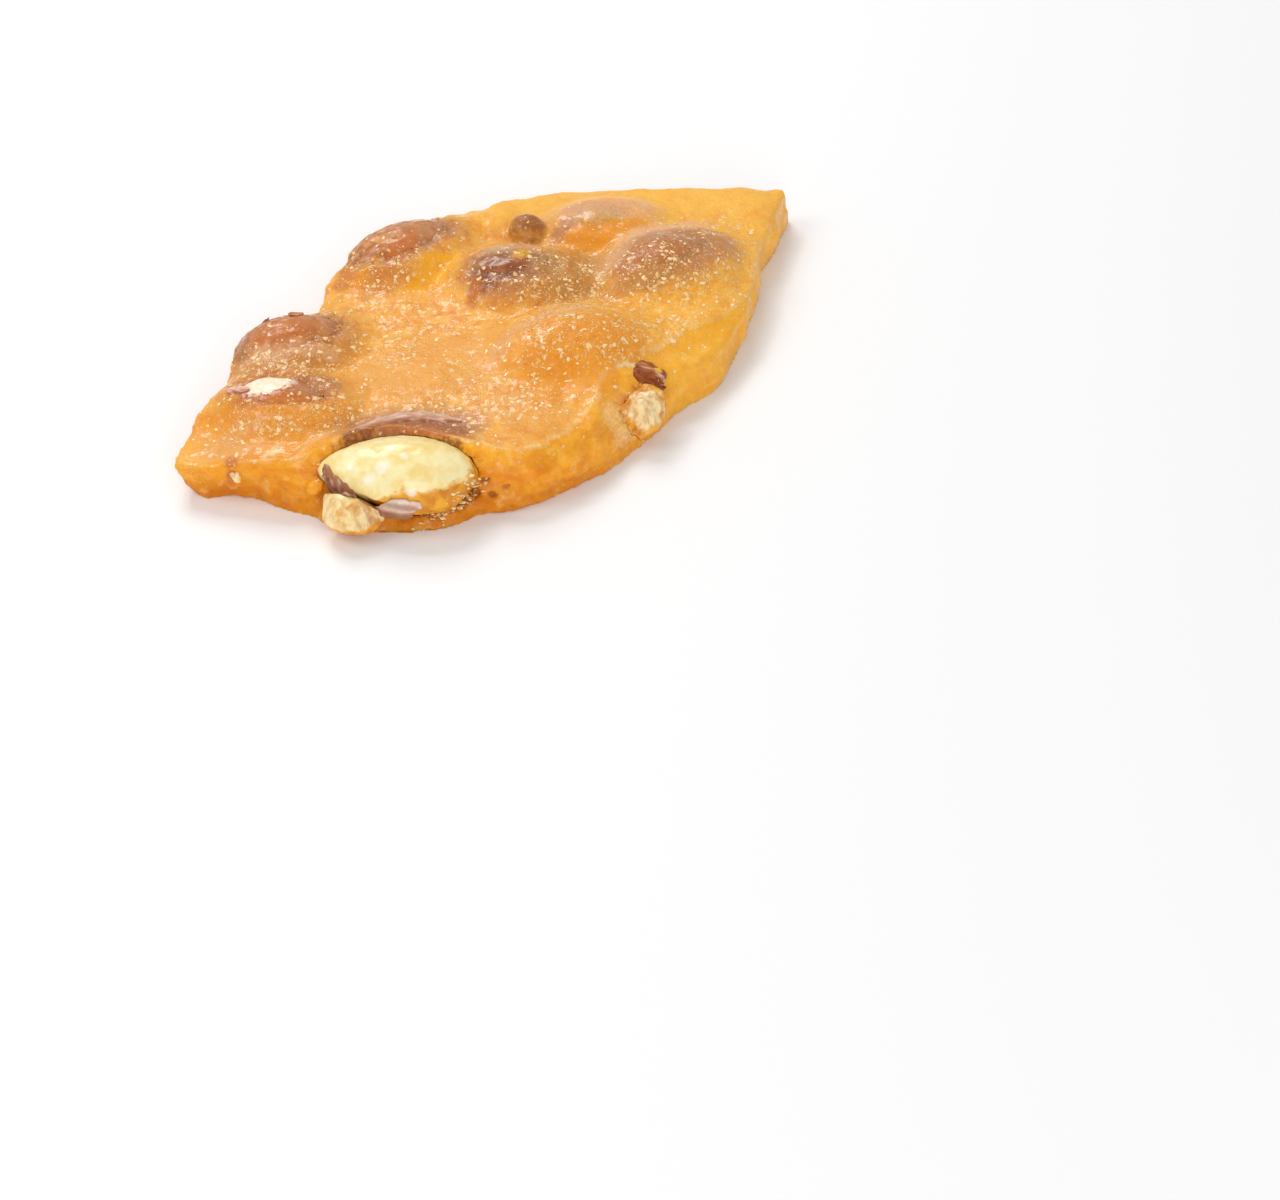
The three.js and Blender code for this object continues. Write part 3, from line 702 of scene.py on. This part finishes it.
# The candy is drawn up to the bare peanuts, which leaves an uneven crack round them.
REACH = 1.6  # how far from a bare peanut the candy is drawn, in mm
seat = np.zeros(len(spots))
for node in BARE:
    shell = shell_of(nuts[node])
    spread = points(nuts[node].data)
    near = np.nonzero(((spots > spread.min(0) - REACH) & (spots < spread.max(0) + REACH)).all(1))[0]
    crack = CRACK + CRACK_MORE * fade(0.1, 0.6, rough(spots[near], 2.4, 17, 2))
    for i, slack in zip(near, crack):
        hit, way, _, away = shell.find_nearest(Vector(spots[i]), REACH)
        if hit is None:
            continue
        loose = node != "peanut_piece_right"  # that one is soaked into the candy, with no crack
        seat[i] = max(seat[i], (1 - away / REACH) * loose)
        if way.dot(Vector(ways[i])) < -0.2:
            spots[i] -= np.array(way) * max(away - slack * loose, 0) * float(fade(REACH, 0.8, away))

# Bubbles that burst at the front break.
pits = np.zeros(len(spots))
for bubble in BUBBLES:
    away = np.linalg.norm((spots - bubble[:3]) / bubble[3:], axis=1) + 0.4 * rough(spots, 0.7, 14, 2)
    pit = np.clip(1 - away**2, 0, 1)
    spots -= ways * (0.8 * bubble[4] * pit)[:, None]
    pits = np.maximum(pits, pit)
spots[:, 2] = np.where(spots[:, 2] < 0.02, 0, spots[:, 2])
put(candy.data, spots)

# What the material reads: 0 to 1 for each effect, but for the tint and the grain.
colour, weight = stains_and_sheens(spots)
upper = fade(-0.35, 0.1, ways[:, 2]) * fade(1.0, 3.0, spots[:, 2])
calm = np.min([oval(spots, *shape) for shape in CALM], 0)
lit = np.max([fade(1.2, 0.6, oval(spots, *shape)) for shape in RIM_HIGHLIGHTS], 0) * fade(4, 5.5, spots[:, 2])
# The rim attribute is a painted highlight along the top's broken edge, in those ovals and along the
# shoulders.
crest = fade(0.45, 0.65, ways[:, 2]) * (1 - 0.95 * fade(0.76, 0.95, ways[:, 2]))
rim = np.maximum(lit * crest, np.exp(-((over / 0.4) ** 2)) * fade(0.5, 0.8, ways[:, 2]))
rim *= 0.7 + 0.9 * rough(spots, 1.1, 71, 3)
layers = {
    "tint": colour,
    "tint_strength": weight * upper,
    "seat": seat,
    "honey": honey,
    "smooth": fade(1.2, 0.5, calm) * (dense < 0.5),
    "pits": pits,
    "rim": rim,
    "film": np.exp(-np.maximum(gap - 0.15, 0) / 0.7) * fade(2, 4, spots[:, 2]),
    "grit": np.maximum(dense, 0.8 * np.clip(rim, 0, 1)) * (0.15 + 0.85 * top) * fade(1, 3, spots[:, 2]),
    "poured": top * fade(1.5, 4.0, spots[:, 2]) * (1 - 0.85 * fade(-0.2, 0.5, over)),
    "grain": grain * GRAIN,
}

# The seats of the peanuts, cut so that the candy ends on each skin in a feather edge. The flat
# underside then needs few triangles, so the mesh is thinned where it is plainest.
bm = bmesh.new()
for nut in nuts.values():
    bm.from_mesh(nut.data)
seats_mesh = bpy.data.meshes.new("seats")
bm.to_mesh(seats_mesh)
bm.free()
seats = piece("seats", seats_mesh)
cut = candy.modifiers.new("seats", "BOOLEAN")
cut.operation = "DIFFERENCE"
cut.solver = "MANIFOLD"
cut.object = seats
thin = candy.modifiers.new("thin", "DECIMATE")
thin.ratio = SHARE_KEPT
bake(candy)
bpy.data.objects.remove(seats)

# After the cut each point stores the values of the nearest point before it, and the feather
# edges are marked sharp.
before = KDTree(len(spots))
for i, spot in enumerate(spots):
    before.insert(spot, i)
before.balance()
nearest = [before.find(spot)[1] for spot in points(candy.data)]
for name, values in layers.items():
    store(candy.data, name, values[nearest])
bm = bmesh.new()
bm.from_mesh(candy.data)
for edge in bm.edges:
    edge.smooth = edge.calc_face_angle(0) < radians(SHARP_FROM)
bm.to_mesh(candy.data)
bm.free()

# Clear amber where it broke, with painted shade darker towards the underside and a painted glow near
# the top; hazier and paler where it was poured; more golden at the right, where the honey attribute is 1.
sugar, tree, shader = look("amber_candy", 0.34, 0.1, 0.3, reach=1.8)
where = add(tree, "TexCoord").outputs["Object"]
level = add(tree, "SeparateXYZ", {"Vector": where}).outputs["Z"]
poured, honey = attribute(tree, "poured"), attribute(tree, "honey")
drift, frost, dapple = cloud(tree, where, 3.2, 4), cloud(tree, where, 0.34, 3), cloud(tree, where, 1.5, 4)
golden = calc(tree, "MULTIPLY", honey, 0.8)
clear = mix(tree, ramp(tree, drift, 0.35, 0.68), "ee9a1c", "fab02c")
# Painted shade towards the underside, then a painted glow of light through the candy near the top.
clear = mix(tree, ramp(tree, level, 4.2 * MM, 1.0 * MM, 0, 0.7), clear, "d47c10")
clear = mix(tree, ramp(tree, level, 4.4 * MM, 6.4 * MM, 0, 0.5), clear, "ffbe34")
clear = mix(tree, golden, clear, "ffbe40")
hazy = mix(tree, ramp(tree, drift, 0.35, 0.68), "f0a63c", "f8b850")
hazy = mix(tree, ramp(tree, frost, 0.45, 0.7, 0, 0.2), hazy, "fcc878")
hazy = mix(tree, golden, hazy, "ffc04c")
body = mix(tree, poured, clear, hazy)

# Dark and light dapples, and flat-lying bands in the break, where the candy folded as it was poured.
lying = stretched(tree, where, 0.3, 0.3, 1)
bands = ramp(tree, cloud(tree, lying, 1.4, 4), 0.52, 0.38, 0, 0.6)
bands = calc(tree, "MULTIPLY", bands, ramp(tree, poured, 0.6, 0.1))
uneven = ramp(tree, attribute(tree, "smooth"), 0, 1, 1, 0.25)
dark = calc(tree, "MAXIMUM", ramp(tree, dapple, 0.5, 0.34, 0, 0.6), bands)
dark = calc(tree, "MULTIPLY", calc(tree, "MULTIPLY", dark, uneven), ramp(tree, honey, 0, 1, 1, 0.45))
light = calc(tree, "MULTIPLY", ramp(tree, dapple, 0.54, 0.7, 0, 0.45), uneven)
body = mix(tree, dark, body, mix(tree, 1.0, body, "ecc898", "MULTIPLY"))
body = mix(tree, light, body, "ffce70")

# A painted highlight along the rim, painted shade in the burst bubbles and in the crack round the bare
# peanuts, and skin that shows through a thin film.
rim_shine = calc(tree, "ADD", attribute(tree, "rim"), ramp(tree, frost, 0.3, 0.7, -0.15, 0.15))
body = mix(tree, ramp(tree, rim_shine, 0.1, 0.9, 0, 0.6), body, "ffdc9c")
# Painted shade: the burst bubbles are darkened brown.
body = mix(tree, ramp(tree, attribute(tree, "pits"), 0.1, 0.7, 0, 0.75), body, "a04c18")
# Painted shade: the candy is darkened brown in the crack round the bare peanuts.
crack_shade = ramp(tree, cloud(tree, where, 1.1, 5), 0.3, 0.7, -0.35, 0.35)
crack_shade = calc(tree, "ADD", attribute(tree, "seat"), crack_shade)
body = mix(tree, ramp(tree, crack_shade, 0.3, 0.9, 0, 0.85), body, "8c4c1e")
veil = calc(tree, "ADD", attribute(tree, "film"), ramp(tree, frost, 0.3, 0.7, -0.1, 0.15), clamp=True)
body = mix(tree, calc(tree, "MULTIPLY", veil, 0.9), body, use(tree, skinned).outputs["Color"])
marks = use(tree, tinted, {"Base": body})
tree.links.new(marks.outputs["Color"], shader.inputs["Base Color"])

# Glossy in patches, and rougher under the haze.
wet = calc(tree, "MULTIPLY", ramp(tree, cloud(tree, where, 0.9, 4), 0.5, 0.62, 0.06, 0.8), uneven)
wet = mix(tree, poured, ramp(tree, cloud(tree, where, 1.1, 3), 0.52, 0.64, 0.02, 0.65), wet)
tree.links.new(wet, shader.inputs["Coat Weight"])
tree.links.new(ramp(tree, drift, 0.4, 0.65, 0.28, 0.45), shader.inputs["Roughness"])
crust = calc(tree, "ADD", calc(tree, "MULTIPLY", poured, 2.0), 0.6)
crust = calc(tree, "MULTIPLY", cloud(tree, where, 1.2, 3), crust)
relief = calc(tree, "ADD", marks.outputs["Bump Height"], crust)
emboss(tree, shader, calc(tree, "ADD", relief, calc(tree, "MULTIPLY", frost, 0.3)), 0.8, 0.09)
candy.data.materials.clear()
candy.data.materials.append(sugar)
candy.data.shade_smooth()
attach(candy, "root")
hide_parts("candy_sheet")


# ---- Torn skin ----
# Flakes of peanut skin, thin as paper, that stuck to the shard: flaps on the two left peanuts, a
# band behind the bare peanut and two flakes on it, and a folded brown piece in the right-hand break.
SKIN_THICKNESS = 0.1  # mm
ROWS = 24  # grid cells across a flake
STRIP_CELLS = 8  # grid cells for each stretch of its path, with as many again
ABOVE = 2.0  # how far above the shard a flake starts, in mm, before it is let down
SETTLING = 6  # rounds in which it comes to rest
BAND = [(-16.6, -21.6, 7.3), (-14.2, -19.4, 6.9), (-11, -17.8, 6.7), (-7.4, -17.2, 6.5), (-3.6, -18.0, 6.4)]
STRIP = [(-19.4, -26.9, 6.9), (-18.6, -28.7, 5.7), (-17.2, -29.9, 5.2), (-15.4, -31.2, 5.0)]

# Each one's path over the surface, width, how far its far edge curls up, pleats, their height, how
# much its pale streaks of painted highlight show, and the colours of its near and far edges.
FLAKES = [
    ([(-28.9, 0.0, 8.3), (-28.3, -1.6, 9.3)], 1.0, 0.12, 1, 0.06, 0.2, RUST, "9c6450"),
    ([(-25.6, -0.6, 9.6), (-23.8, -0.3, 9.5)], 1.2, 0.2, 1, 0.06, 0.2, RUST, "9c6450"),
    ([(-31.6, -13.6, 6.7), (-29.0, -14.6, 8.2)], 1.1, 0.15, 1, 0.05, 0.7, "c0644c", "fbdcc8"),
    # the band's pale far edge is painted light, where its torn upper edge catches it
    (BAND, 2.6, 0, 1, 0.04, 0.6, "9c5236", "e8bc9c"),
    ([(-12.6, -31.4, 4.0), (-8.6, -31.3, 3.5)], 2.4, 0.1, 2, 0.06, 0.6, "b88468", "f4dccc"),
    (STRIP, 1.4, 0.1, 1, 0.05, 0.4, "7c4426", "b87c58"),
    ([(17.4, -8.0, 7.0), (21.4, -9.8, 5.4)], 3.4, 0.15, 3, 0.12, 0.6, "94421c", "c07038"),
]
# Pale streaks of painted highlight, on the ridges of a pleated flake and along the others.
HIGHLIGHT_STREAK = "f0d4c0"

# The shard's whole surface, in mm, for small things to lie on.
bm = bmesh.new()
for obj in (candy, *nuts.values()):
    bm.from_mesh(obj.data)
bm.transform(Matrix.Scale(1 / MM, 4))
surface = BVHTree.FromBMesh(bm)
bm.clear()

colours = []
for seed, (path, width, curl, pleats, height, streak_highlight, *edge_colours) in enumerate(FLAKES):
    path = [Vector(p) for p in path]
    stretches = len(path) - 1
    near, far = [np.array(tone(code)) for code in edge_colours]
    up = sum((surface.find_nearest(p)[1] for p in path), Vector()).normalized()
    columns = STRIP_CELLS * (1 + stretches)
    sheet = bmesh.ops.create_grid(bm, x_segments=columns, y_segments=ROWS, size=0.5)["verts"]
    spots, drops, shares = [], [], []
    for vert in sheet:
        u, v = vert.co.x + 0.5, vert.co.y * 2  # u goes along the path, v from its near to its far edge
        step = min(int(u * stretches), stretches - 1)
        way = path[step + 1] - path[step]
        side = up.cross(way).normalized()
        ragged = 1 + 0.25 * noise.noise(Vector((u * 3 * len(path), seed * 3.3, v)))
        half = width / 2 * ragged * (1 - 0.75 * (2 * u - 1) ** 6) * (1 - 0.6 * (curl == 0) * u**3)
        spot = path[step] + way * (u * stretches - step) + side * v * half + up * ABOVE
        hit = surface.ray_cast(spot, -up, 2 * ABOVE)[0]
        spots.append(spot)
        drops.append((spot - hit).length if hit else ABOVE)
        shares.append((u, v))
    # The sheet is stiff: it bridges pits and rests on what stands highest under it.
    drops = np.array(drops).reshape(ROWS + 1, columns + 1)
    for _ in range(SETTLING):
        padded = np.pad(drops, 1, "edge")
        around = (padded[:-2, 1:-1] + padded[2:, 1:-1] + padded[1:-1, :-2] + padded[1:-1, 2:]) / 4
        drops = np.minimum(around, drops)
    for vert, spot, drop, (u, v) in zip(sheet, spots, drops.ravel(), shares):
        ripple = height * (1 + cos(pi * pleats * (v + 0.3 * sin(2 * u)))) * (1 - v**4)
        sunk = 0.2 * fade(0.2, -1, v) if curl == 0 and v < 0 else 0
        crinkle = 0.12 * noise.noise(spot * 1.1)
        # Painted shade in the valleys and towards the edges; on a pleated flake, a painted highlight on
        # each ridge.
        shade = 1 - (0.4 if pleats > 1 else 0.15) * (1 - min(ripple / (height * 1.4), 1))
        painted_streak = fade(0.1, 0.45, noise.noise(Vector((u * 2.5 * len(path), v * 2.5, seed * 5.7))))
        painted_streak = streak_highlight * (fade(1.55, 1.9, ripple / height) if pleats > 1 else painted_streak)
        colour = (near + (far - near) * fade(-0.7, 0.9, v)) * shade
        colours.append(colour + (np.array(tone(HIGHLIGHT_STREAK)) - colour) * painted_streak)
        vert.co = (spot + up * (0.05 + ripple + crinkle - sunk - drop + curl * max(v, 0) ** 2)) * MM
flake_mesh = bpy.data.meshes.new("skin_flakes")
bm.to_mesh(flake_mesh)
bm.free()
store(flake_mesh, "tint", np.array(colours))
flakes = piece("skin_flakes", flake_mesh)
thick = flakes.modifiers.new("thickness", "SOLIDIFY")
thick.thickness = SKIN_THICKNESS * MM
thick.offset = 0
bake(flakes)
spots = points(flakes.data)
store(flakes.data, "grain", spots * (0.5, 1.6, 1.6))
store(flakes.data, "tint_strength", np.full(len(spots), 0.95))
flakes.data.shade_smooth()

# Dry skin, in the flakes' own tints over the brown of the peanuts.
paper, tree, shader = look("torn_skin", 0.42, 0.15, 0.0)
brown = use(tree, skinned)
marks = use(tree, tinted, {"Base": brown.outputs["Color"]})
tree.links.new(marks.outputs["Color"], shader.inputs["Base Color"])
emboss(tree, shader, brown.outputs["Bump Height"], 0.6, 0.12)
flakes.data.materials.clear()
flakes.data.materials.append(paper)
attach(flakes, "root")


# ---- Chips of peanut ----
# A pale splinter of peanut in the left-hand break, and crumbs of peanut strewn below and to the
# right of the bare one, where the shard was snapped off.
SPLINTER = ((-30.2, -25.4, 3.7), (0.7, 0.45, 0.9))  # middle and half sizes, in mm
TRAIL = [  # the way the crumbs lie, in mm
    (-1.4, -27.6, 5.0), (-2.4, -29.0, 4.0), (-3.6, -29.6, 2.6), (-5.6, -30.2, 1.6), (-8.4, -31.0, 1.2),
]
CRUMBS = 90
STRAY = 0.6  # how far a crumb strays from the trail, in mm
FRONT = Vector((0, -0.8, 0.6))  # the way the front break faces
CHIP_BREAKS = 9  # flat faces on each

rng = np.random.default_rng(5)
shapes = [SPLINTER]
for _ in range(CRUMBS):
    step = min(int((len(TRAIL) - 1) * rng.random()), len(TRAIL) - 2)
    spot = Vector(TRAIL[step]).lerp(Vector(TRAIL[step + 1]), rng.random()) + Vector(rng.normal(0, STRAY, 3))
    hit, way, _, _ = surface.ray_cast(spot + FRONT * 4, -FRONT)
    if hit is None:  # it fell past the shard
        continue
    size = 0.08 + 0.22 * rng.random() ** 2
    shapes.append((hit + way * size * 0.3, (size * rng.uniform(1, 1.8), size, size * 0.8)))
bm = bmesh.new()
for seed, (middle, size) in enumerate(shapes):
    finer = 2 if seed else 4  # the first, the splinter, is the largest
    chip = bmesh.ops.create_icosphere(bm, subdivisions=finer, radius=1)["verts"]
    spots = break_flat(np.array([v.co for v in chip]), CHIP_BREAKS, seed + 3)
    spots = spots * size * (1 + 0.3 * rough(spots, 0.7, seed + 61, 3))[:, None] + middle
    spots[:, 2] = np.maximum(spots[:, 2], 0.01)  # none dips under the table
    for vert, spot in zip(chip, spots):
        vert.co = Vector(spot) * MM
chip_mesh = bpy.data.meshes.new("peanut_chips")
bm.to_mesh(chip_mesh)
bm.free()
store(chip_mesh, "toast", np.full(len(chip_mesh.vertices), 0.9))
chips = piece("peanut_chips", chip_mesh)
chip_mesh.shade_smooth()
chip_mesh.materials.append(kernel)
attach(chips, "root")


# ---- Sugar grit ----
# Crystals and crumbs of sugar, 0.2 to 1 mm, that stuck to the top while it set. One mesh of
# small flattened stones sunk in the surface, densest round the peanuts at the right.
STONES = 6500
STONE_KINDS = 6  # shapes of stone, which repeat
ON_SKIN = 0.3  # share of the grit that sticks to bare skin

rng = np.random.default_rng(7)
faces = []
for obj in (candy, *[nuts[n] for n in SKINNED]):
    mesh = obj.data
    mesh.calc_loop_triangles()
    corners = np.empty(len(mesh.loop_triangles) * 3, dtype=int)
    mesh.loop_triangles.foreach_get("vertices", corners)
    faces.append(points(mesh)[corners.reshape(-1, 3)])
bare_skin = len(faces[0])  # the faces after these are skin that no film covers
faces = np.concatenate(faces)
turns = np.cross(faces[:, 1] - faces[:, 0], faces[:, 2] - faces[:, 0])
area = np.linalg.norm(turns, axis=1) / 2
turns /= np.maximum(area * 2, 1e-9)[:, None]
middles = faces.mean(1)
outer = area * fade(0.3, 0.75, turns[:, 2]) * fade(2.5, 4, middles[:, 2]) * (oval(middles, *FLESH) > 1)
outer[bare_skin:] *= ON_SKIN
chance = outer * grit_at(middles) * (0.25 + fade(-0.1, 0.5, rough(middles, 1.8, 21, 2)))
bm = bmesh.new()
bmesh.ops.create_icosphere(bm, subdivisions=1, radius=1)
stone_corners = len(bm.verts)
stones = []
for _ in range(STONE_KINDS):
    for vert in bm.verts:
        vert.co = vert.co.normalized() * rng.uniform(0.6, 1.3)
    stones.append(bpy.data.meshes.new("stone"))
    bm.to_mesh(stones[-1])
bm.clear()
for count, face in enumerate(rng.choice(len(faces), STONES, p=chance / chance.sum())):
    u, v = sorted(rng.random(2))
    a, b, c = faces[face]
    wide = 0.07 + 0.27 * rng.random() ** 4
    shape = Matrix.Diagonal((wide * rng.uniform(0.8, 1.7), wide, wide * 0.4, 1))
    spot = u * a + (v - u) * b + (1 - v) * c - turns[face] * wide * rng.uniform(0.05, 0.25)
    lie = Vector(turns[face]).to_track_quat("Z", "Y").to_matrix().to_4x4()
    spin = Matrix.Rotation(rng.uniform(0, 2 * pi), 4, "Z")
    one = stones[count % len(stones)].copy()
    one.transform(Matrix.Scale(MM, 4) @ Matrix.Translation(Vector(spot)) @ lie @ spin @ shape)
    bm.from_mesh(one)
    bpy.data.meshes.remove(one)
grit_mesh = bpy.data.meshes.new("sugar_grit")
bm.to_mesh(grit_mesh)
bm.free()
store(grit_mesh, "pale", np.repeat(rng.random(STONES), stone_corners))
sugar_stones = piece("sugar_grit", grit_mesh)

# Dry sugar crystals, each amber to cream.
crystal, tree, shader = look("sugar_crystal", 0.3, 0.3, 0.0)
tree.links.new(mix(tree, attribute(tree, "pale"), "eab466", "ffe0ae"), shader.inputs["Base Color"])
grit_mesh.materials.append(crystal)
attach(sugar_stones, "root")
